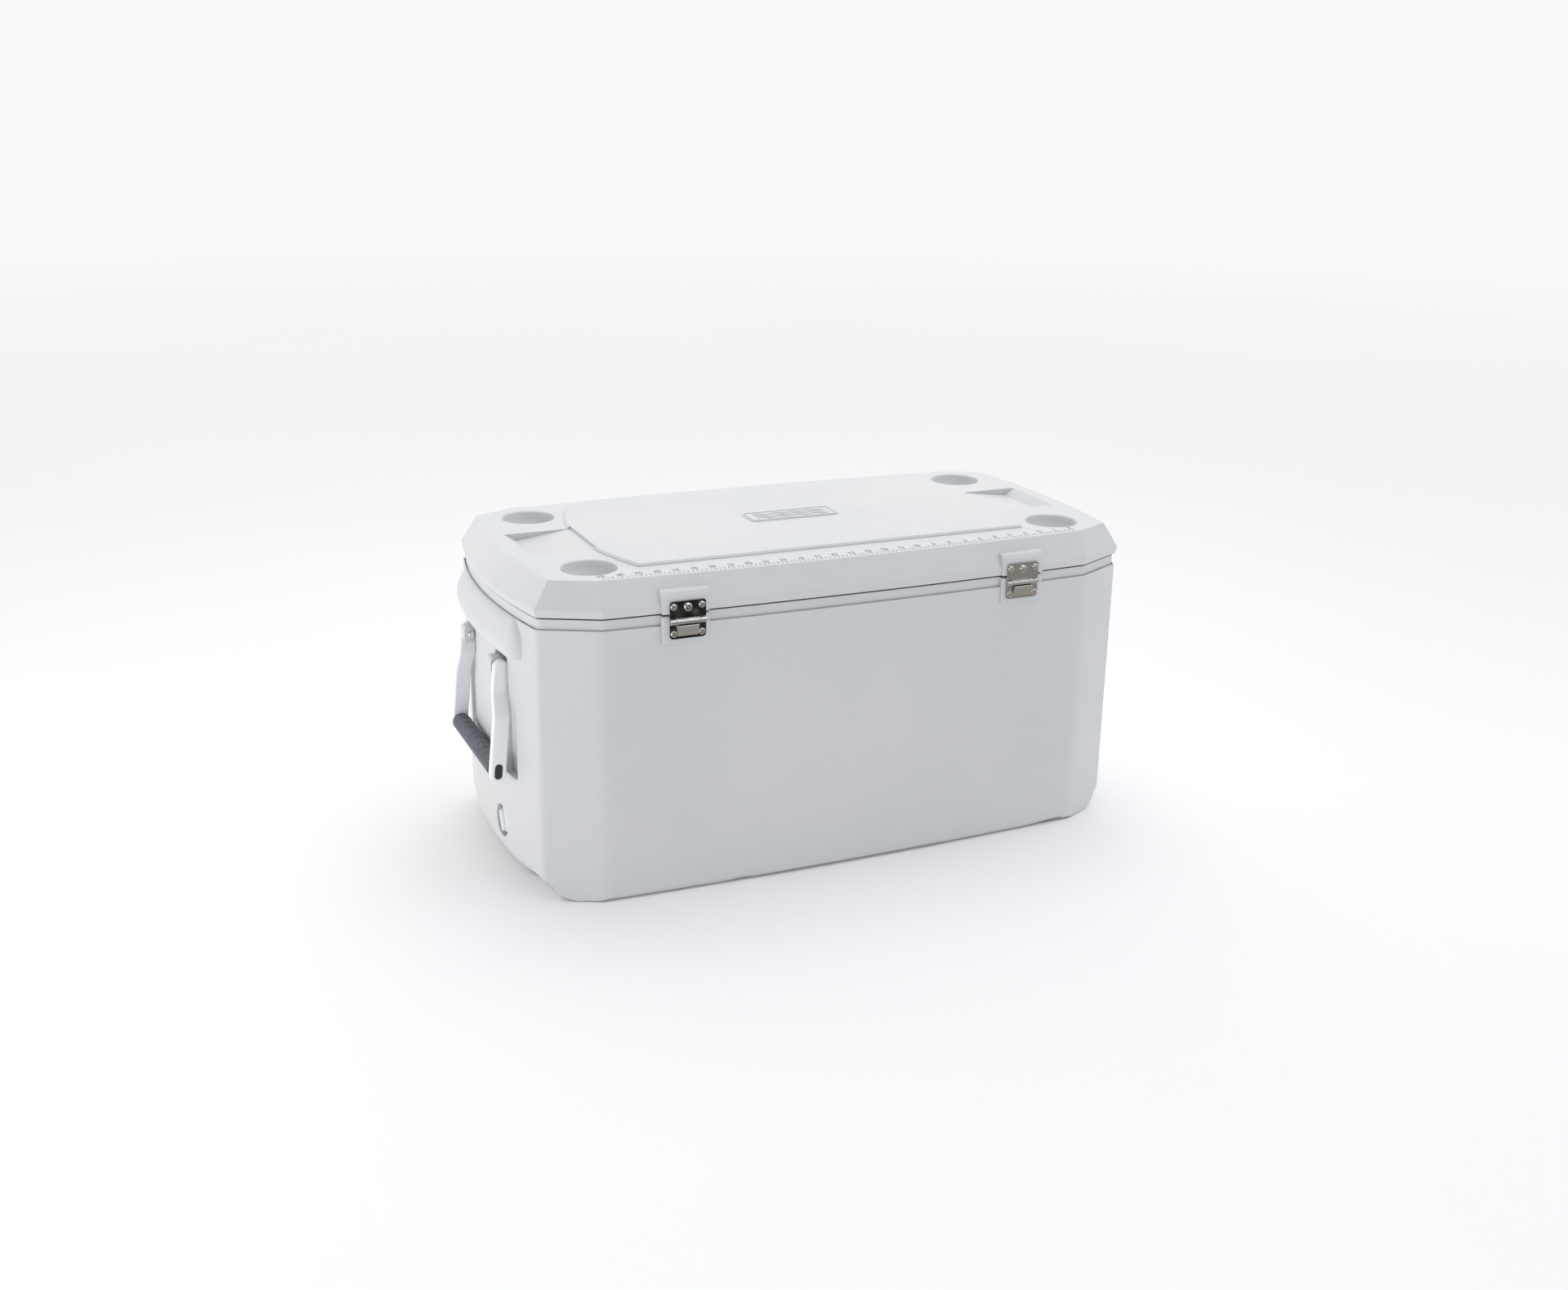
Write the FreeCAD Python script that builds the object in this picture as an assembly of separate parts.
import FreeCAD, Part
import os
from math import sin, cos, radians, degrees, sqrt, asin, atan2

# Insulated hard-shell cooler chest with a hinged lid, two swing handles and a drain.
# Frame: origin on the resting plane under the middle of the tub, +Z up,
# X along the long side, hinge side at +Y, opening side at -Y, drain end at +X.
# Lengths are in mm. Heights below are on a scale where the tub's underside is at Z_BASE;
# save() lifts every piece so that the chest stands on Z = 0.

Vector = FreeCAD.Vector
ORIGIN = Vector(0, 0, 0)
X_AXIS, Y_AXIS, Z_AXIS = Vector(1, 0, 0), Vector(0, 1, 0), Vector(0, 0, 1)
SIDES = (1, -1)

# ---------------------------------------------------------------- driving dimensions
# Plan outlines, each an eight-sided ring with bowed ends and long sides:
# (X, Y of the corner between end and facet, X, Y of the corner between facet and long side,
#  outward bow of the end, outward bow of the long side)
WIDEST = (444.3, 189.4, 364.7, 228.3, 20.7, 9.4)       # widest line of the lid
LID_TOP = (422.5, 182.2, 368.2, 207.6, 14.5, 12.1)     # top edge of the lid
END_X, END_Y, SIDE_X, SIDE_Y, END_BOW, SIDE_BOW = WIDEST

# heights
Z_BASE = -5.0                  # underside of the tub
Z_CAVITY = Z_BASE + 8.0        # bottom of the space between shell and liner
Z_FLOOR = 46.0                 # inside floor
Z_LEDGE = 379.4                # top of the tub wall, where the rim band steps in
Z_RIM = 393.2                  # top of the rim
Z_LID = 395.6                  # underside of the lid
Z_WIDEST = 406.2               # widest line of the lid
Z_TOP = 442.2                  # top surface of the lid
PANEL_H = 3.8                  # raised centre panel
Z_PANEL = Z_TOP + PANEL_H

# insets from the widest outline, and thicknesses
IN_BODY = 1.1                  # tub wall
IN_BAND = 4.4                  # rim band
IN_LID = 2.0                   # lid underside
IN_LINER = 42.0                # inner face of the liner
IN_PLUG = IN_LINER + 5.0       # plug under the lid
WALL = 4.0                     # shell thickness
LINER_T = 3.5
IN_LID_CAVITY = IN_LID + WALL + 1.0
GAP = 0.15                     # between shells, foam and liner
R_BAND = 14.0                  # vertical corners of the rim band
CAVITY_BEVEL = 34.0            # chamfer round the bottom of the cavity

# vertical corners of the tub
R_CORNER = 12.0                # between end and facet
R_CORNER_LONG = 60.0           # much softer, between facet and long side

# rounding under the tub
R_BASE_END = 40.0              # reach under the ends
FULL_END = 0.85                # section there: 1 = quarter circle, 0 = flat chamfer
R_BASE_FACET = 3.0             # under the corner facets
R_BASE_SIDE = 10.0             # under the long sides
R_SCOOP = 50.0                 # larger, beside the middle pedestal of each end
SCOOP_Y = 136.0                # middle of that stretch

# reliefs under the long edges, between the feet
RELIEF_H = 3.5
RELIEF_X = 145.0               # half length
RELIEF_Y = 165.0               # they lie outside this |Y|

# lid top
CUP_R, CUP_X, CUP_Y, CUP_DEPTH = 37.4, 355.7, 144.3, 25.0
CUP_WALL = 3.5                 # under and around the cup holders and trays
Z_CUP = Z_TOP - CUP_DEPTH
PLAQUE = (-76.0, 66.0, -39.0, 12.0)    # X and Y limits of the raised plaque

# handles
PIVOT_X, PIVOT_Z = 464.5, 300.0    # pivot axis runs along Y
TILT = 5.7                     # hanging angle, degrees
ARM_L = 142.0                  # pivot to grip
ARM_R = 10.8                   # half depth of the arm
ARM_UP_IN, ARM_UP_OUT = 83.0, 96.0      # upper part of the arm, |Y|
ARM_LOW_IN, ARM_LOW_OUT = 98.5, 111.5   # lower part of the arm, |Y|
CRANK_TOP, CRANK_BOTTOM = -33.0, -66.0  # crank heights, from the pivot
PIVOT_R = 4.0
SLOT_X = 449.0                 # floor of the arm slots
LUG_IN, LUG_OUT = 62.0, 81.5   # |Y| of the pivot lugs
LUG_R = 11.6                   # reach of the lugs round the pivot
HOOD_Y = 128.0                 # half length of the straight run of the cowl
GRIP_R = 12.6                  # rubber sleeve
RIDGES = 9                     # finger ridges along it
CORE_W, CORE_H = 11.0, 22.0    # oval core

# hinges
HINGE_X = 252.6                # hinge centres
PAD_X = HINGE_X + 1.4          # centres of the moulded pads
PAD_HALF = 33.0                # half width of pads and bosses
PAD_Y = 236.5                  # face of the pads
LEAF_W, LEAF_T = 50.8, 2.0
LEAF_BACK = PAD_Y + 0.05
LEAF_FACE = LEAF_BACK + LEAF_T
LEAF_TOP, LEAF_BOTTOM = 413.0, 361.5
AXIS_Y, AXIS_Z = 240.1, 385.0
KNUCKLE_R, HINGE_PIN_R = 3.5, 1.6
KNUCKLE_HALF = 17.0            # half width of the centre knuckle
TAB_HALF = 14.4                # half width of the stop tab
SCREW_R = 2.0
# screws: X from the hinge centre, Z
BODY_SCREWS = [(-19.6, 368.8), (19.6, 368.8)]
LID_SCREWS = [(-19.6, 405.4), (19.6, 405.4)]
LID_MID_SCREW = (0.0, 404.0)

# drain, on an axis along X
DRAIN_Y, DRAIN_Z = 55.0, 62.0
POCKET_R, POCKET_X = 23.5, 441.0
SPOUT_R, SPOUT_BORE = 13.0, 9.5
X_FLANGE = POCKET_X + 1.6      # inner face of the spout flange
X_SPOUT = POCKET_X + 13.5      # outer end of the spout
X_NUT = 419.6                  # outer face of the nut

os.makedirs("parts", exist_ok=True)


# ---------------------------------------------------------------- curves and faces
def line(start, end):
    return Part.LineSegment(Vector(*start), Vector(*end)).toShape()


def arc(start, middle, end):
    return Part.Arc(Vector(*start), Vector(*middle), Vector(*end)).toShape()


def poly_face(points):
    corners = [Vector(*p) for p in points]
    return Part.Face(Part.makePolygon(corners + corners[:1]))


def bow_radius(half, bow):
    return (half * half + bow * bow) / (2 * bow)


# bows of the widest outline, at the +X end and the +Y side
R_END = bow_radius(END_Y, END_BOW)
R_LONG = bow_radius(SIDE_X, SIDE_BOW)
END_CENTRE = Vector(END_X + END_BOW - R_END, 0, 0)
SIDE_CENTRE = Vector(0, SIDE_Y + SIDE_BOW - R_LONG, 0)


def outline_points(inset, outline=WIDEST):
    """First-quadrant corners of an outline moved inwards, then X and Y of its bow middles."""
    end_x, end_y, side_x, side_y, end_bow, side_bow = outline
    end_r, side_r = bow_radius(end_y, end_bow), bow_radius(side_x, side_bow)
    end_cx, side_cy = end_x + end_bow - end_r, side_y + side_bow - side_r
    dir_x, dir_y = side_x - end_x, side_y - end_y      # along the facet
    length = sqrt(dir_x * dir_x + dir_y * dir_y)
    dir_x /= length
    dir_y /= length
    norm_x, norm_y = -dir_y, dir_x
    if norm_x * end_x + norm_y * end_y > 0:            # make the normal point inwards
        norm_x, norm_y = -norm_x, -norm_y
    start_x, start_y = end_x + norm_x * inset, end_y + norm_y * inset

    def meet(centre_x, centre_y, radius, near):
        """Where the moved facet crosses a bow, on the side of the point near."""
        off_x, off_y = start_x - centre_x, start_y - centre_y
        along = off_x * dir_x + off_y * dir_y
        root = sqrt(along * along - (off_x * off_x + off_y * off_y - radius * radius))
        found = [(start_x + dir_x * t, start_y + dir_y * t)
                 for t in (-along + root, -along - root)]
        return min(found, key=lambda p: (p[0] - near[0]) ** 2 + (p[1] - near[1]) ** 2)

    end_corner = meet(end_cx, 0, end_r - inset, (end_x, end_y))
    side_corner = meet(0, side_cy, side_r - inset, (side_x, side_y))
    return end_corner, side_corner, end_cx + end_r - inset, side_cy + side_r - inset


def outline_wire(z, inset=0.0, outline=WIDEST):
    (end_x, end_y), (side_x, side_y), mid_x, mid_y = outline_points(inset, outline)
    return Part.Wire([
        arc((end_x, -end_y, z), (mid_x, 0, z), (end_x, end_y, z)),
        line((end_x, end_y, z), (side_x, side_y, z)),
        arc((side_x, side_y, z), (0, mid_y, z), (-side_x, side_y, z)),
        line((-side_x, side_y, z), (-end_x, end_y, z)),
        arc((-end_x, end_y, z), (-mid_x, 0, z), (-end_x, -end_y, z)),
        line((-end_x, -end_y, z), (-side_x, -side_y, z)),
        arc((-side_x, -side_y, z), (0, -mid_y, z), (side_x, -side_y, z)),
        line((side_x, -side_y, z), (end_x, -end_y, z)),
    ])


# ---------------------------------------------------------------- edge selectors
def vertical_edges(shape):
    found = []
    for edge in shape.Edges:
        if len(edge.Vertexes) == 2:
            a, b = (v.Point for v in edge.Vertexes)
            if abs(a.x - b.x) < 1e-4 and abs(a.y - b.y) < 1e-4 and abs(a.z - b.z) > 0.5:
                found.append(edge)
    return found


def edges_at_z(shape, z):
    return [e for e in shape.Edges
            if abs(e.BoundBox.ZMin - z) < 1e-3 and abs(e.BoundBox.ZMax - z) < 1e-3]


def edges_along_x(shape):
    return [e for e in shape.Edges if abs(e.tangentAt(e.FirstParameter).x) > 0.99]


# ---------------------------------------------------------------- solids
def prism(inset, z_low, z_high, corner_r=0.0):
    """Upright prism on the widest outline moved inwards."""
    solid = Part.Face(outline_wire(z_low, inset)).extrude(Vector(0, 0, z_high - z_low))
    if corner_r > 0:
        solid = solid.makeFillet(corner_r, vertical_edges(solid))
    return solid


def box(x_low, x_high, y_low, y_high, z_low, z_high):
    return Part.makeBox(x_high - x_low, y_high - y_low, z_high - z_low,
                        Vector(x_low, y_low, z_low))


def cyl_x(radius, x_low, x_high, y=DRAIN_Y, z=DRAIN_Z):
    return Part.makeCylinder(radius, x_high - x_low, Vector(x_low, y, z), X_AXIS)


def cyl_y(radius, y_low, y_high, x, z):
    return Part.makeCylinder(radius, y_high - y_low, Vector(x, y_low, z), Y_AXIS)


def capsule(radius, z_high, z_low, y_low, y_high):
    """Bar along Y with half-round top and bottom centred on the two heights."""
    face = Part.Face(Part.Wire([
        arc((-radius, y_low, z_high), (0, y_low, z_high + radius), (radius, y_low, z_high)),
        line((radius, y_low, z_high), (radius, y_low, z_low)),
        arc((radius, y_low, z_low), (0, y_low, z_low - radius), (-radius, y_low, z_low)),
        line((-radius, y_low, z_low), (-radius, y_low, z_high))]))
    return face.extrude(Vector(0, y_high - y_low, 0))


def fuse(shapes):
    result = shapes[0]
    if len(shapes) > 1:
        result = result.multiFuse(shapes[1:])
    return result.removeSplitter()


def cut_all(shape, cutters):
    return shape.cut(cutters[0].multiFuse(cutters[1:]))


def mirror_x(shape):
    return shape.mirror(ORIGIN, X_AXIS)


def mirror_y(shape):
    return shape.mirror(ORIGIN, Y_AXIS)


def both_x(shape):
    return [shape, mirror_x(shape)]


def save(name, shape):
    """Write one piece, lifted onto the resting plane."""
    if shape.ShapeType != "Solid" and len(shape.Solids) == 1:
        shape = shape.Solids[0]
    if not shape.isValid():
        shape.fix(1e-4, 1e-4, 1e-3)
    shape = shape.copy()
    shape.translate(Vector(0, 0, -Z_BASE))
    shape.exportStep("parts/%s.step" % name)


# ---------------------------------------------------------------- rounding under the tub
def round_section(reach, wall_x, full=1.0):
    """Section of a cutter that leaves a rounding under a wall standing at X = wall_x;
    full = 1 is a quarter circle, less is flatter, towards a chamfer."""
    over = 0.05        # the arc crosses the wall and the underside instead of touching them
    x_in, x_wall = wall_x - reach + over, wall_x + over
    z_under, z_up = Z_BASE - over, Z_BASE + reach - over
    middle = reach * (0.5 + 0.2071 * full)
    x_out, z_out = wall_x + 30, z_under - 1
    return Part.Face(Part.Wire([
        line((x_in, 0, z_out), (x_out, 0, z_out)),
        line((x_out, 0, z_out), (x_out, 0, z_up)),
        line((x_out, 0, z_up), (x_wall, 0, z_up)),
        arc((x_wall, 0, z_up), (x_in + middle, 0, z_up - middle), (x_in, 0, z_under)),
        line((x_in, 0, z_under), (x_in, 0, z_out))]))


def round_depth(reach):
    """Depth of an end rounding, measured at 45 degrees from the sharp base corner."""
    return (0.7071 - 0.2929 * FULL_END) * reach


def bowed_round(section, centre, heading, half_angle):
    """Sweep a rounding section along a bow; heading 0 is the +X end, 90 the +Y side."""
    section.rotate(ORIGIN, Z_AXIS, heading)
    section.translate(centre)
    section.rotate(centre, Z_AXIS, -half_angle)
    return section.revolve(centre, Z_AXIS, 2 * half_angle)


def facet_round():
    """Straight cutter along the facet of the first quadrant."""
    end_corner, side_corner = outline_points(IN_BODY)[:2]
    angle = degrees(atan2(side_corner[1] - end_corner[1], side_corner[0] - end_corner[0])) - 90.0
    distance = cos(radians(angle)) * end_corner[0] + sin(radians(angle)) * end_corner[1]
    cutter = round_section(R_BASE_FACET, distance)
    cutter.translate(Vector(0, -260, 0))
    cutter = cutter.extrude(Vector(0, 520, 0))
    cutter.rotate(ORIGIN, Z_AXIS, angle)
    return cutter.common(box(250, 520, 120, 320, Z_BASE - 5, 60))


def round_base(tub):
    """Large rounding at the ends, medium at the long sides, nearly sharp at the facets."""
    side = bowed_round(round_section(R_BASE_SIDE, R_LONG - IN_BODY), SIDE_CENTRE, 90, 3.5)
    end = bowed_round(round_section(R_BASE_END, R_END - IN_BODY, FULL_END), END_CENTRE, 0, 15)
    facet = facet_round()
    cutters = [side, mirror_y(side)] + both_x(end) + both_x(facet) + both_x(mirror_y(facet))
    for cutter in cutters:
        tub = tub.cut(cutter)
    return tub


def end_scoops():
    """Larger rounding under the +X end, on both sides of its middle pedestal."""
    wall_r = R_END - IN_BODY
    sweep = bowed_round(round_section(R_SCOOP, wall_r, FULL_END), END_CENTRE, 0, 13)
    shallow, deep = round_depth(R_BASE_END) - 1.2, round_depth(R_SCOOP) + 0.6
    # distance along Y from the middle of the scoop, depth from the base corner;
    # a ramp leads into the scoop on the pedestal side
    profile = [(-40, -30), (-40, shallow), (-12, deep), (66, deep), (66, -30)]
    diagonal = cos(radians(45))
    corner_x = END_CENTRE.x + wall_r
    scoops = []
    for side in SIDES:
        points = [(corner_x - depth * diagonal - 60 * diagonal, side * y,
                   Z_BASE + depth * diagonal - 60 * diagonal) for y, depth in profile]
        keep = poly_face(points).extrude(Vector(120 * diagonal, 0, 120 * diagonal))
        keep.rotate(END_CENTRE, Z_AXIS, side * degrees(asin(SCOOP_Y / R_END)))
        scoops.append(sweep.common(keep))
    return scoops


# ---------------------------------------------------------------- features of the +X end
# outline of an arm slot: |Y|, Z, and how the point moves in each when the slot grows
SLOT = [(53, 316, -1, 1), (99.5, 316, 1, 1), (99.5, 270, 1, 0), (122, 247, 1, 0),
        (122, 146, 1, -1), (75, 146, -1, -1), (75, 236, -1, 0), (55, 258, -1, 0)]

# outer face of the cowl: distance outside the wall, Z
HOOD = [(0.0, 378.6), (3.8, 375.2), (7.9, 368.6), (11.4, 360.4),
        (13.8, 350.0), (14.2, 341.0), (12.8, 332.0), (9.6, 325.4)]


def arm_slots(grow=0.0):
    """The two arm slots as blocks, grown all round and inwards."""
    x = SLOT_X - grow
    return [poly_face([(x, side * (y + grow * move_y), z + grow * move_z)
                       for y, z, move_y, move_z in SLOT]).extrude(Vector(520.0 - x, 0, 0))
            for side in SIDES]


def rounded_slots():
    return [slot.makeFillet(6.0, edges_along_x(slot)) for slot in arm_slots()]


def hood():
    """Cowl above the handle: a rounded ridge that follows the bow of the end
    and turns into the wall at both ends."""
    wall_r = R_END - IN_BODY
    back_x = wall_r - 9.0
    points = [Vector(wall_r + out, 0, z) for out, z in HOOD]
    back_top = Vector(back_x, 0, points[0].z)
    back_low = Vector(back_x, 0, points[-1].z - 1.8)
    curve = Part.BSplineCurve()
    curve.interpolate(points)
    face = Part.Face(Part.Wire([curve.toShape(), line(points[-1], back_low),
                                line(back_low, back_top), line(back_top, points[0])]))
    face.translate(END_CENTRE)
    angle = degrees(asin(HOOD_Y / R_END))
    middle = face.copy()
    middle.rotate(END_CENTRE, Z_AXIS, -angle)
    parts = [middle.revolve(END_CENTRE, Z_AXIS, 2 * angle)]
    for side in SIDES:
        cap = face.revolve(Vector(END_CENTRE.x + back_x, 0, 0), Z_AXIS, side * 90)
        cap.rotate(END_CENTRE, Z_AXIS, side * angle)
        parts.append(cap)
    return fuse(parts)


def pivot_lug(side):
    y_low, y_high = sorted((side * LUG_IN, side * LUG_OUT))
    lug = box(446.5, PIVOT_X + LUG_R, y_low, y_high, PIVOT_Z - LUG_R, PIVOT_Z + LUG_R)
    outer = [e for e in lug.Edges if e.BoundBox.XMin > PIVOT_X + 11 and e.BoundBox.YLength > 5]
    return lug.makeFillet(5.0, outer)


# ---------------------------------------------------------------- tub
def tub_outer():
    tub = prism(IN_BODY, Z_BASE, Z_LEDGE)
    end = [e for e in vertical_edges(tub) if abs(e.Vertexes[0].X) > (END_X + SIDE_X) / 2]
    tub = tub.makeFillet(R_CORNER, end)
    long_side = [e for e in vertical_edges(tub)
                 if abs(e.Vertexes[0].X) < SIDE_X + 3 and abs(e.Vertexes[0].Y) > END_Y + 15]
    tub = tub.makeFillet(R_CORNER_LONG, long_side)
    tub = tub.makeFillet(1.0, edges_at_z(tub, Z_LEDGE))
    tub = round_base(tub)
    tub = fuse([tub, prism(IN_BAND, Z_LEDGE - 12, Z_RIM, R_BAND)])
    # narrow groove at the foot of the rim band
    groove = prism(IN_BAND - 1.5, Z_LEDGE - 2.4, Z_LEDGE + 1, R_BAND + 1.5)
    return tub.cut(groove.cut(prism(IN_BAND, Z_LEDGE - 3, Z_LEDGE + 2, R_BAND)))


def tub_backing(outer):
    """Walls round the arm slots and the drain pocket, and bosses behind the hinges."""
    backing = []
    for slot in arm_slots(WALL):
        backing += both_x(slot.common(box(430, 462, -200, 200, 100, 345)))
    backing.append(cyl_x(POCKET_R + WALL, POCKET_X - WALL, 470))
    for side in SIDES:
        middle = side * HINGE_X
        backing.append(box(middle - PAD_HALF, middle + PAD_HALF, 213.0, 240, 352.0, 388.0))
    return [b.common(outer) for b in backing]


def tub_hinge_pad(side):
    middle = side * PAD_X
    pad = box(middle - PAD_HALF, middle + PAD_HALF, 227.0, PAD_Y, 354.5, 392.6)
    return pad.makeChamfer(1.6, [e for e in pad.Edges if e.BoundBox.YMin > PAD_Y - 0.01])


def base_reliefs():
    """Reliefs under both long edges, ramped at each end."""
    section = poly_face([(-RELIEF_X - 6, -300, Z_BASE - 1), (-RELIEF_X, -300, Z_BASE + RELIEF_H),
                         (RELIEF_X, -300, Z_BASE + RELIEF_H), (RELIEF_X + 6, -300, Z_BASE - 1)])
    reliefs = []
    for y_low, y_high in ((-300, -RELIEF_Y), (RELIEF_Y, 300)):
        start = section.copy()
        start.translate(Vector(0, y_low + 300, 0))
        reliefs.append(start.extrude(Vector(0, y_high - y_low, 0)))
    return reliefs


def body_shell():
    outer = tub_outer()
    cavity = prism(IN_BODY + WALL, Z_CAVITY, Z_LEDGE - 4)
    cavity = cavity.makeChamfer(CAVITY_BEVEL, edges_at_z(cavity, Z_CAVITY))
    band_cavity = prism(IN_BAND + WALL, Z_LEDGE - 6, Z_RIM + 2)
    hood_limit = box(-520, 520, -200, 200, 300, Z_LEDGE - 0.02)
    hoods = [h.common(hood_limit) for h in both_x(hood())]
    shell = fuse([outer] + hoods).cut(fuse([cavity, band_cavity]))
    shell = fuse([shell] + tub_backing(outer) + [tub_hinge_pad(side) for side in SIDES])

    cutters = []
    for slot in rounded_slots():
        cutters += both_x(slot)
    cutters.append(cyl_x(POCKET_R, POCKET_X, 520))
    cutters.append(cyl_x(SPOUT_R + 0.1, 400, 520))
    cutters += base_reliefs()
    for scoop in end_scoops():
        cutters += both_x(scoop)
    shell = cut_all(shell, cutters)

    lugs = []
    for side in SIDES:
        lugs += both_x(pivot_lug(side))
    shell = fuse([shell] + lugs)
    holes = []
    for end in SIDES:
        for side in SIDES:
            y_low, y_high = sorted((side * (LUG_IN - 2), side * (LUG_OUT + 1)))
            holes.append(cyl_y(PIVOT_R + 0.02, y_low, y_high, end * PIVOT_X, PIVOT_Z))
        for x, z in BODY_SCREWS:
            holes.append(cyl_y(SCREW_R + 0.02, 220, 245, end * HINGE_X + x, z))
    return cut_all(shell, holes)


def body_liner():
    tub = prism(IN_LINER - LINER_T, Z_FLOOR - LINER_T, Z_RIM - 1, 24.0)
    flange = prism(IN_BAND + WALL + 0.3, Z_RIM - 4.0, Z_RIM)
    inner = prism(IN_LINER, Z_FLOOR, Z_RIM + 2, 21.0)
    inner = inner.makeFillet(12.0, edges_at_z(inner, Z_FLOOR))
    liner = fuse([tub, flange]).cut(inner)
    liner = liner.cut(cyl_x(SPOUT_R + 0.1, 400, 440))
    return liner.cut(cyl_x(17.5, 396, X_NUT + 0.05))       # room for the drain nut


def body_foam():
    lower = prism(IN_BODY + WALL + GAP, Z_CAVITY + GAP, Z_LEDGE - 4 - GAP)
    lower = lower.makeChamfer(CAVITY_BEVEL + 0.2, edges_at_z(lower, Z_CAVITY + GAP))
    upper = prism(IN_BAND + WALL + GAP + 0.2, Z_LEDGE - 6, Z_RIM - 4.0 - GAP)
    cutters = [prism(IN_LINER - LINER_T - GAP, Z_FLOOR - LINER_T - GAP, Z_RIM + 5, 24.0)]
    for slot in arm_slots(WALL + GAP):
        cutters += both_x(slot)
    cutters.append(cyl_x(POCKET_R + WALL + GAP, POCKET_X - WALL - GAP, 480))
    cutters.append(cyl_x(SPOUT_R + 0.3, 400, 480))
    # clear of the hinge bosses and pads
    half, z_low = PAD_HALF + GAP, 352.0 - GAP
    for side in SIDES:
        boss, pad = side * HINGE_X, side * PAD_X
        cutters.append(box(boss - half, boss + half + 2.8, 213.0 - GAP, 260, z_low, 400))
        cutters.append(box(pad - half, pad + half, 215.8, 260, z_low, 400))
    return cut_all(fuse([lower, upper]), cutters)


# ---------------------------------------------------------------- lid
def smaller_top(end_dx, end_dy, side_dx, side_dy):
    """Top outline of the lid with its corners moved inwards."""
    moves = (end_dx, end_dy, side_dx, side_dy, 0, 0)
    return tuple(value - move for value, move in zip(LID_TOP, moves))


def loft(*wires):
    return Part.makeLoft(list(wires), True, True)


def cup(radius, depth, x_side, y_side):
    return Part.makeCylinder(radius, 60, Vector(x_side * CUP_X, y_side * CUP_Y, Z_TOP - depth))


def lid_panel():
    """Raised centre panel: straight long edges, arched ends, sloped border."""
    z = Z_TOP - 2
    y, corner_x, middle_x = 164.0, 294.0, 326.0
    face = Part.Face(Part.Wire([
        arc((corner_x, -y, z), (middle_x, 0, z), (corner_x, y, z)),
        line((corner_x, y, z), (-corner_x, y, z)),
        arc((-corner_x, y, z), (-middle_x, 0, z), (-corner_x, -y, z)),
        line((-corner_x, -y, z), (corner_x, -y, z))]))
    panel = face.extrude(Vector(0, 0, 2 + PANEL_H))
    return panel.makeChamfer(2.9, edges_at_z(panel, Z_PANEL))


def tray(grow=0.0):
    """Ramped tray between the cup holders of the +X end, deepest towards the outer end.
    A grown tray is the block that leaves a wall round it."""
    if grow:
        x_in, z_in = 318 - grow * 3, Z_TOP - grow
        x_rise, z_rise = 416 + grow * 1.6, Z_TOP - 1.0
    else:
        x_in, z_in = 318, Z_TOP + 0.2
        x_rise, z_rise = 416, Z_TOP + 1.0
    profile = [(x_in, z_in), (398 + grow * 0.4, Z_TOP - 10.0 - grow), (x_rise, z_rise),
               (416 + grow, Z_TOP + 6), (x_in, Z_TOP + 6)]
    face = poly_face([(x, -60 - grow, z) for x, z in profile])
    return face.extrude(Vector(0, 120 + 2 * grow, 0))


def lid_hinge_pad(side):
    x = side * PAD_X - PAD_HALF
    pad = poly_face([(x, 200, Z_LID), (x, PAD_Y, Z_LID), (x, PAD_Y, 419.5),
                     (x, PAD_Y - 3.0, 424.5), (x, 200, 429.5)])
    pad = pad.extrude(Vector(2 * PAD_HALF, 0, 0))
    upright = [e for e in pad.Edges if e.BoundBox.YMin > PAD_Y - 3.2 and e.BoundBox.ZLength > 3]
    return pad.makeChamfer(1.2, upright)


def lid_hollow():
    """Space inside the lid, clear of the cup holders, hinge bosses and trays."""
    lower = prism(IN_LID_CAVITY, Z_LID - 2, Z_WIDEST + 1)
    upper = loft(outline_wire(Z_WIDEST, IN_LID_CAVITY),
                 outline_wire(Z_TOP - 4.0, 2.2, smaller_top(4.6, 3.0, 2.4, 4.6)))
    hollow = fuse([lower, upper])
    keep = []
    for x_side in SIDES:
        for y_side in SIDES:
            keep.append(cup(CUP_R + CUP_WALL, CUP_DEPTH + CUP_WALL, x_side, y_side))
        middle = x_side * HINGE_X
        keep.append(box(middle - PAD_HALF, middle + PAD_HALF, 211.0, 235, Z_LID + 4.2, 426))
    keep += both_x(tray(CUP_WALL))
    return cut_all(hollow, keep)


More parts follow.
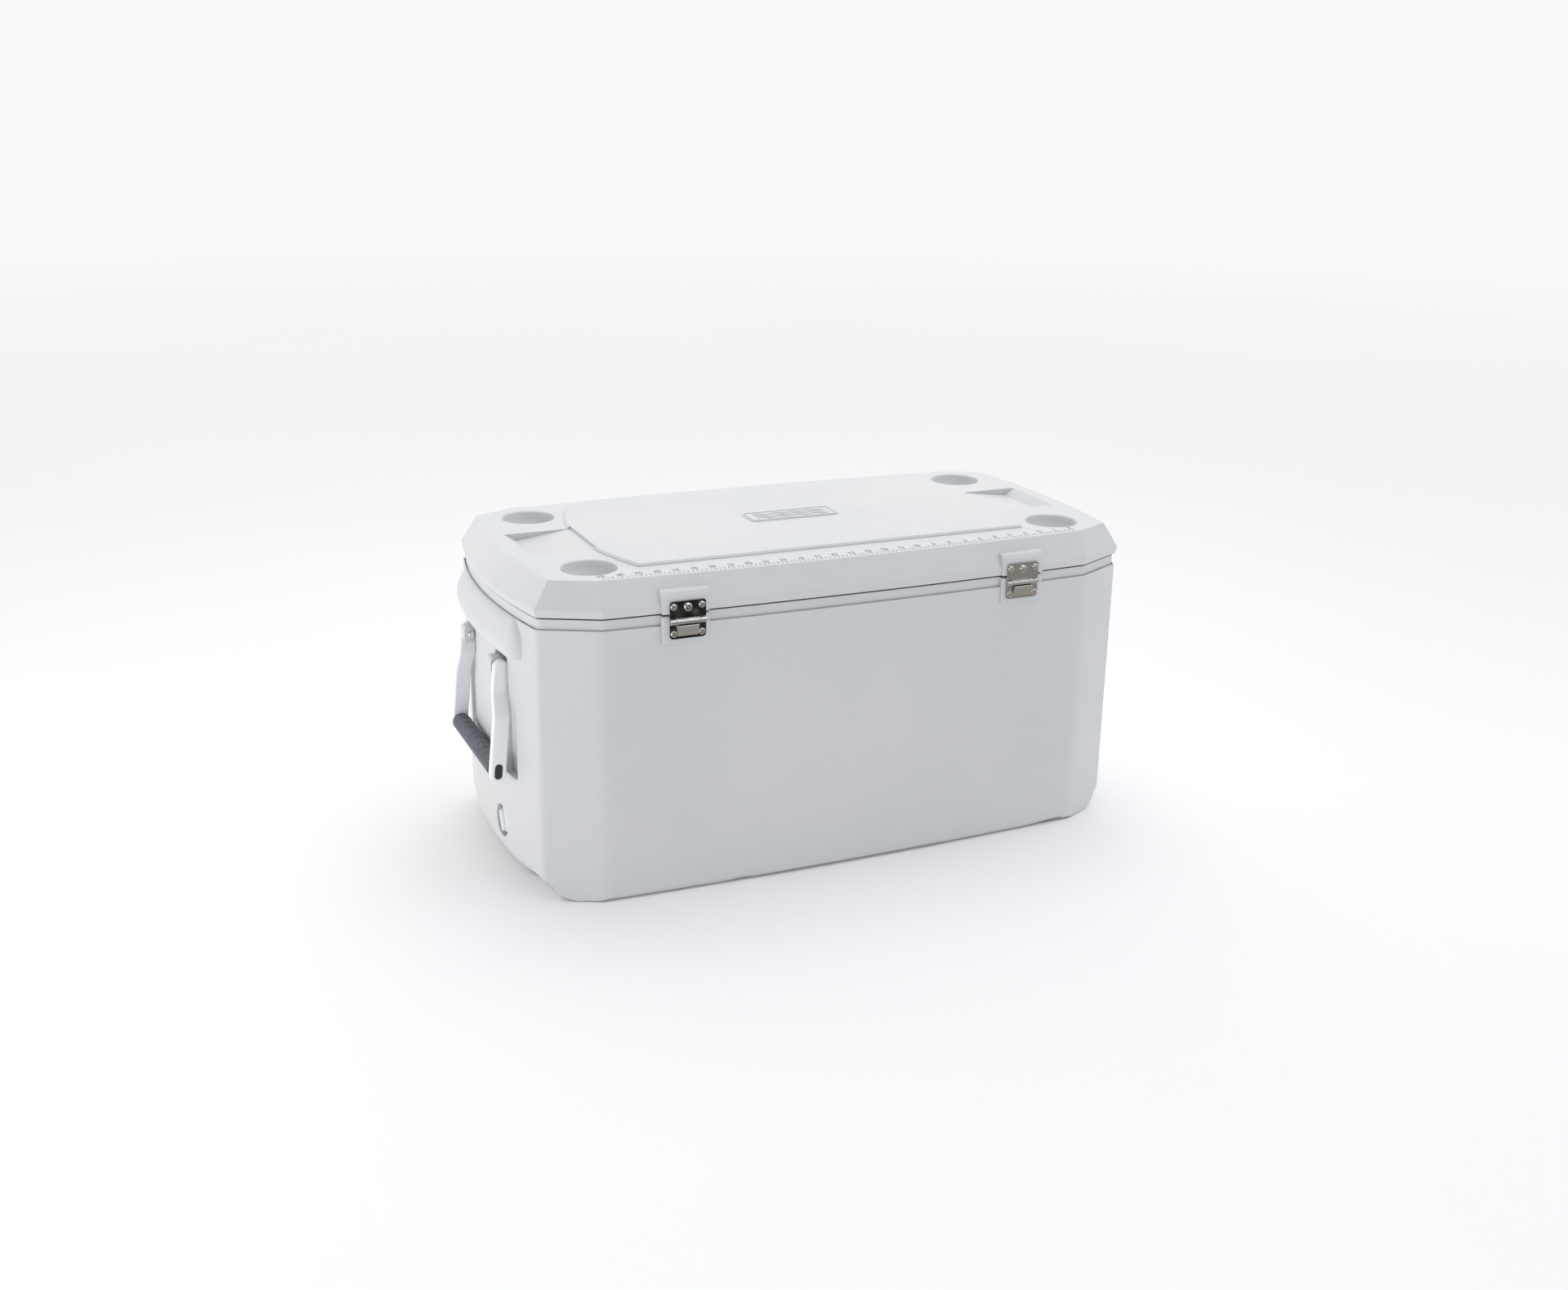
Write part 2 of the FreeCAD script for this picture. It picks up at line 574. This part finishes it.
def lid_shell():
    widest = outline_wire(Z_WIDEST, 0.0)
    shell = fuse([loft(outline_wire(Z_LID, IN_LID), widest),
                  loft(widest, outline_wire(Z_TOP, 0.0, LID_TOP))])
    shell = shell.makeFillet(2.6, edges_at_z(shell, Z_TOP))
    # the rounding of the widest line may fail; that line then stays sharp
    try:
        shell = shell.makeFillet(2.2, edges_at_z(shell, Z_WIDEST))
    except Exception:
        pass
    shell = fuse([shell, lid_panel()] + [lid_hinge_pad(side) for side in SIDES])
    shell = shell.cut(lid_hollow())

    cutters = []
    for x_side in SIDES:
        for y_side in SIDES:
            holder = cup(CUP_R, CUP_DEPTH, x_side, y_side)
            cutters.append(holder.makeFillet(4.0, edges_at_z(holder, Z_CUP)))
            lip = Vector(x_side * CUP_X, y_side * CUP_Y, Z_TOP - 1.6)
            cutters.append(Part.makeCone(CUP_R, CUP_R + 3.0, 3.0, lip))
        for x, z in LID_SCREWS + [LID_MID_SCREW]:
            cutters.append(cyl_y(SCREW_R + 0.02, 222, 245, x_side * HINGE_X + x, z))
    cutters += both_x(tray())
    # finger grip under the opening edge
    cutters.append(box(-70, 70, -250, -231.5, Z_LID - 1, Z_LID + 5.0))
    return cut_all(shell, cutters)


def lid_liner():
    plate = prism(IN_LID_CAVITY + 0.3, Z_LID + 0.1, Z_LID + 3.6)
    plug = prism(IN_PLUG, Z_LID - 8.0, Z_LID + 2.0, 24.0)
    plug = plug.makeFillet(3.0, edges_at_z(plug, Z_LID - 8.0))
    inner = prism(IN_PLUG + LINER_T, Z_LID - 4.5, Z_LID + 6, 20.5)
    gasket_groove = prism(20.0, Z_LID - 1, Z_LID + 1.5, 20.0)
    gasket_groove = gasket_groove.cut(prism(28.4, Z_LID - 2, Z_LID + 3, 20.0))
    return fuse([plate, plug]).cut(inner).cut(gasket_groove)


def lid_gasket():
    outer = prism(20.2, Z_RIM + 0.05, Z_LID + 1.45, 20.0)
    return outer.cut(prism(28.2, Z_RIM - 1, Z_LID + 3, 20.0))


def lid_foam():
    inset = IN_LID_CAVITY + GAP + 0.2
    edge = prism(inset, Z_LID + 3.6 + GAP, Z_WIDEST - 0.2)
    upper = loft(outline_wire(Z_WIDEST - 0.4, inset),
                 outline_wire(Z_TOP - 4.4, 2.6, smaller_top(5.2, 3.4, 2.8, 5.2)))
    plug = prism(IN_PLUG + LINER_T + GAP, Z_LID - 4.5 + GAP, Z_LID + 5, 20.5)
    cutters = []
    for x_side in SIDES:
        for y_side in SIDES:
            cutters.append(cup(CUP_R + CUP_WALL + GAP, CUP_DEPTH + CUP_WALL + GAP,
                               x_side, y_side))
        middle = x_side * HINGE_X
        for left, right in ((36, 38), (38, 36)):       # clear of the hinge bosses and pads
            cutters.append(box(middle - left, middle + right, 210.5, 240, Z_LID, 440))
    cutters += both_x(tray(CUP_WALL + GAP * 1.5))
    return cut_all(fuse([edge, upper, plug]), cutters)


def lid_plaque():
    z_face = Z_PANEL + 1.0
    plaque = box(*PLAQUE, Z_PANEL + 0.02, z_face)
    plaque = plaque.makeFillet(9.0, vertical_edges(plaque))
    return plaque.makeChamfer(0.5, edges_at_z(plaque, z_face))


# ---------------------------------------------------------------- hinges
def on_axis(radius, x_low, x_high):
    """Cylinder on the hinge axis."""
    return cyl_x(radius, x_low, x_high, AXIS_Y, AXIS_Z)


def leaf_box(x_low, x_high, z_low, z_high):
    return box(x_low, x_high, LEAF_BACK, LEAF_FACE, z_low, z_high)


def leaf_plate(middle, z_low, z_high, round_z):
    """Plate whose two corners at height round_z are rounded."""
    plate = leaf_box(middle - LEAF_W / 2, middle + LEAF_W / 2, z_low, z_high)
    corners = [e for e in plate.Edges
               if e.BoundBox.YLength > 1 and abs(e.BoundBox.ZMin - round_z) < 0.01]
    return plate.makeFillet(5.0, corners)


def drill_leaf(leaf, middle, pin_gap, screws):
    bores = [on_axis(HINGE_PIN_R + pin_gap, middle - 40, middle + 40)]
    bores += [cyl_y(SCREW_R + 0.25, 230, 250, middle + x, z) for x, z in screws]
    return cut_all(leaf, bores)


def lid_leaf(middle):
    half = KNUCKLE_HALF - 0.25
    leaf = fuse([leaf_plate(middle, AXIS_Z + 4.4, LEAF_TOP, LEAF_TOP),
                 leaf_box(middle - half, middle + half, AXIS_Z, AXIS_Z + 6),
                 on_axis(KNUCKLE_R, middle - half, middle + half)])
    return drill_leaf(leaf, middle, 0.04, LID_SCREWS + [LID_MID_SCREW])


def stop_tab(middle):
    """Wedge, proud at its upper end and flush at its lower end."""
    x, back = middle - TAB_HALF, LEAF_FACE - 0.5
    side = poly_face([(x, back, 380.6), (x, LEAF_FACE + 3.9, 380.2), (x, LEAF_FACE + 4.6, 379.2),
                      (x, LEAF_FACE, 365.2), (x, back, 365.2)])
    return side.extrude(Vector(2 * TAB_HALF, 0, 0))


def body_leaf(middle):
    parts = [leaf_plate(middle, LEAF_BOTTOM, AXIS_Z - 4.4, LEAF_BOTTOM)]
    inner = KNUCKLE_HALF + 0.25
    for left, right in ((-LEAF_W / 2, -inner), (inner, LEAF_W / 2)):
        parts.append(leaf_box(middle + left, middle + right, AXIS_Z - 6, AXIS_Z))
        parts.append(on_axis(KNUCKLE_R, middle + left, middle + right))
    parts.append(stop_tab(middle))
    return drill_leaf(fuse(parts), middle, 0.02, BODY_SCREWS)


def hinge_pin(middle):
    half = LEAF_W / 2 + 0.8
    return on_axis(HINGE_PIN_R, middle - half, middle + half)


def screw(x, z, head_r=4.5, head_h=2.3):
    """Pan head with a cross recess."""
    y = LEAF_FACE + 0.02
    top = y + head_h
    head = cyl_y(head_r, y, top, x, z)
    head = head.makeFillet(head_h * 0.8, [e for e in head.Edges if e.BoundBox.YMin > top - 0.01])
    solid = head.fuse(cyl_y(SCREW_R, y - 12.5, y + 0.5, x, z))
    flat = box(x - 2.2, x + 2.2, top - 1.3, top + 1, z - 0.45, z + 0.45)
    upright = box(x - 0.45, x + 0.45, top - 1.3, top + 1, z - 2.2, z + 2.2)
    return solid.cut(flat.fuse(upright)).removeSplitter()


def body_screws(middle):
    return Part.makeCompound([screw(middle + x, z) for x, z in BODY_SCREWS])


def lid_screws(middle):
    x_mid, z_mid = LID_MID_SCREW
    return Part.makeCompound([screw(middle + x, z) for x, z in LID_SCREWS]
                             + [screw(middle + x_mid, z_mid, head_r=5.7, head_h=3.0)])


# ---------------------------------------------------------------- handle of the +X end
# Local frame: pivot at the origin, handle hanging along -Z, X outwards.
def place_handle(shape):
    shape = shape.copy()
    shape.rotate(ORIGIN, Y_AXIS, -TILT)
    shape.translate(Vector(PIVOT_X, 0, PIVOT_Z))
    return shape


def core_bar(y_low, y_high, extra=0.0):
    """Oval bar along the grip line."""
    radius = (CORE_W + extra) / 2
    reach = (CORE_H + extra) / 2 - radius
    return capsule(radius, -ARM_L + reach, -ARM_L - reach, y_low, y_high)


def arm(side):
    """Cranked arm at the given side in Y."""
    body = capsule(ARM_R, 0, -ARM_L - 4.5, 70, 130)
    # the arm seen along X: Y, Z
    front = [(ARM_UP_IN, 20), (ARM_UP_OUT, 20), (ARM_UP_OUT, CRANK_TOP),
             (ARM_LOW_OUT, CRANK_BOTTOM), (ARM_LOW_OUT, -180), (ARM_LOW_IN, -180),
             (ARM_LOW_IN, CRANK_BOTTOM), (ARM_UP_IN, CRANK_TOP)]
    crank = poly_face([(-20, y, z) for y, z in front]).extrude(Vector(40, 0, 0))
    bends = [e for e in edges_along_x(crank) if -70 < e.BoundBox.Center.z < -30]
    crank = crank.makeFillet(9.0, bends)
    solid = body.common(crank).removeSplitter()
    solid = solid.makeFillet(2.0, solid.Edges)
    solid = solid.cut(cyl_y(PIVOT_R + 0.05, ARM_UP_IN - 0.2, ARM_UP_IN + 10.2, 0, 0))
    solid = solid.cut(core_bar(60, 130, extra=0.1))
    if side < 0:
        solid = mirror_y(solid)
    return place_handle(solid)


def grip_sleeve():
    """Rubber sleeve: round outside, low finger ridges on the inner, upper side."""
    half = ARM_LOW_IN - 0.35
    bevel = 1.4
    profile = [(0, -half), (GRIP_R - bevel, -half), (GRIP_R, -half + bevel),
               (GRIP_R, half - bevel), (GRIP_R - bevel, half), (0, half)]
    sleeve = poly_face([(x, y, 0) for x, y in profile]).revolve(ORIGIN, Y_AXIS, 360)
    valley, crest = GRIP_R - 1.1, GRIP_R + 0.1
    start = -half + 5
    pitch = 2 * (half - 5) / RIDGES
    edges = []
    for i in range(RIDGES):
        low, high = start + i * pitch, start + (i + 1) * pitch
        edges.append(arc((valley, low, 0), (crest, (low + high) / 2, 0), (valley, high, 0)))
    end = start + RIDGES * pitch
    edges += [line((valley, end, 0), (0, end, 0)), line((0, end, 0), (0, start, 0)),
              line((0, start, 0), (valley, start, 0))]
    ridged = Part.Face(Part.Wire(edges)).revolve(ORIGIN, Y_AXIS, 360)
    ridged.translate(Vector(-0.6, 0, 0.8))
    sleeve = fuse([sleeve, ridged])
    sleeve.translate(Vector(0, 0, -ARM_L))
    return place_handle(sleeve.cut(core_bar(-130, 130, extra=0.1)))


def grip_core():
    return place_handle(core_bar(-ARM_LOW_OUT + 0.8, ARM_LOW_OUT - 0.8))


def pivot_pins():
    head = cyl_y(6.6, LUG_IN - 3.22, LUG_IN - 0.02, PIVOT_X, PIVOT_Z)
    head = head.makeFillet(2.2, [e for e in head.Edges if e.BoundBox.YMax < LUG_IN - 3.2])
    shank = cyl_y(PIVOT_R, LUG_IN - 1, ARM_UP_IN + 9.6, PIVOT_X, PIVOT_Z)
    pin = head.fuse(shank).removeSplitter()
    return Part.makeCompound([pin, mirror_y(pin)])


# ---------------------------------------------------------------- drain
def drain_ring(inner_r, outer_r, x_low, x_high):
    return cyl_x(outer_r, x_low, x_high).cut(cyl_x(inner_r, x_low - 1, x_high + 1))


def rods_round(count, rod_r, circle_r, x_low, x_high):
    """Rods along X, evenly spaced on a circle round the drain axis."""
    return [cyl_x(rod_r, x_low, x_high, DRAIN_Y + circle_r * cos(radians(a)),
                  DRAIN_Z + circle_r * sin(radians(a))) for a in range(0, 360, 360 // count)]


def drain_spout():
    spout = fuse([cyl_x(SPOUT_R, X_NUT - 8.5, X_SPOUT),
                  cyl_x(19.0, X_FLANGE, X_FLANGE + 2.4)])
    # outer thread: a helical ridge of just over two turns
    helix = Part.makeHelix(3.0, 6.6, SPOUT_R - 0.2)
    root, crest = SPOUT_R - 0.4, SPOUT_R + 0.8
    profile = Part.Wire(Part.makePolygon([Vector(root, 0, -1.0), Vector(crest, 0, -0.25),
                                          Vector(crest, 0, 0.25), Vector(root, 0, 1.0),
                                          Vector(root, 0, -1.0)]))
    thread = Part.Wire(helix.Edges).makePipeShell([profile], True, True)
    thread.rotate(ORIGIN, Y_AXIS, 90)
    thread.translate(Vector(X_FLANGE + 3.6, DRAIN_Y, DRAIN_Z))
    return spout.fuse(thread).cut(cyl_x(SPOUT_BORE, 380, 520)).removeSplitter()


def drain_nut():
    nut = drain_ring(SPOUT_R + 0.05, 15.5, X_NUT - 7.0, X_NUT)
    return cut_all(nut, rods_round(12, 1.6, 16.2, X_NUT - 8, X_NUT - 1.0))


def drain_gasket():
    return drain_ring(SPOUT_R + 0.1, 18.4, POCKET_X + 0.03, X_FLANGE - 0.03)


def drain_cap_washer():
    return drain_ring(SPOUT_BORE + 0.4, SPOUT_R + 0.8, X_SPOUT + 0.03, X_SPOUT + 1.5)


def drain_cap():
    """Fluted cap with a turning bar across its face."""
    x_in, x_face = X_FLANGE + 2.9, X_SPOUT + 4.4
    cap = cyl_x(18.0, x_in, x_face)
    cap = cap.makeFillet(1.6, [e for e in cap.Edges if e.BoundBox.XMin > x_face - 0.01])
    cap = cap.cut(cyl_x(SPOUT_R + 1.15, x_in - 1, X_SPOUT + 1.55))
    cap = cut_all(cap, rods_round(18, 2.0, 19.2, x_in - 1, x_face + 1))
    bar = box(x_face - 0.5, x_face + 5.5, DRAIN_Y - 3.4, DRAIN_Y + 3.4,
              DRAIN_Z - 15.5, DRAIN_Z + 15.5)
    bar = bar.makeFillet(2.8, [e for e in bar.Edges
                               if e.BoundBox.XMin > x_face + 5.4 or e.BoundBox.XLength > 4])
    bar.rotate(Vector(0, DRAIN_Y, DRAIN_Z), X_AXIS, 24)
    return fuse([cap, bar])


# ---------------------------------------------------------------- write the pieces
def main():
    for piece in (body_shell, body_liner, body_foam, lid_shell, lid_liner, lid_foam,
                  lid_gasket, lid_plaque, drain_spout, drain_nut, drain_gasket,
                  drain_cap_washer, drain_cap):
        save(piece.__name__, piece())
    for side, middle in (("right", HINGE_X), ("left", -HINGE_X)):
        for piece in (lid_leaf, body_leaf, lid_screws, body_screws):
            save("hinge_%s_%s" % (side, piece.__name__), piece(middle))
        save("hinge_%s_pin" % side, hinge_pin(middle))
    handle = {"rear_arm": arm(1), "front_arm": arm(-1), "grip_sleeve": grip_sleeve(),
              "grip_core": grip_core(), "pivot_pins": pivot_pins()}
    for name, shape in handle.items():
        save("handle_right_" + name, shape)
        save("handle_left_" + name, mirror_x(shape))


main()
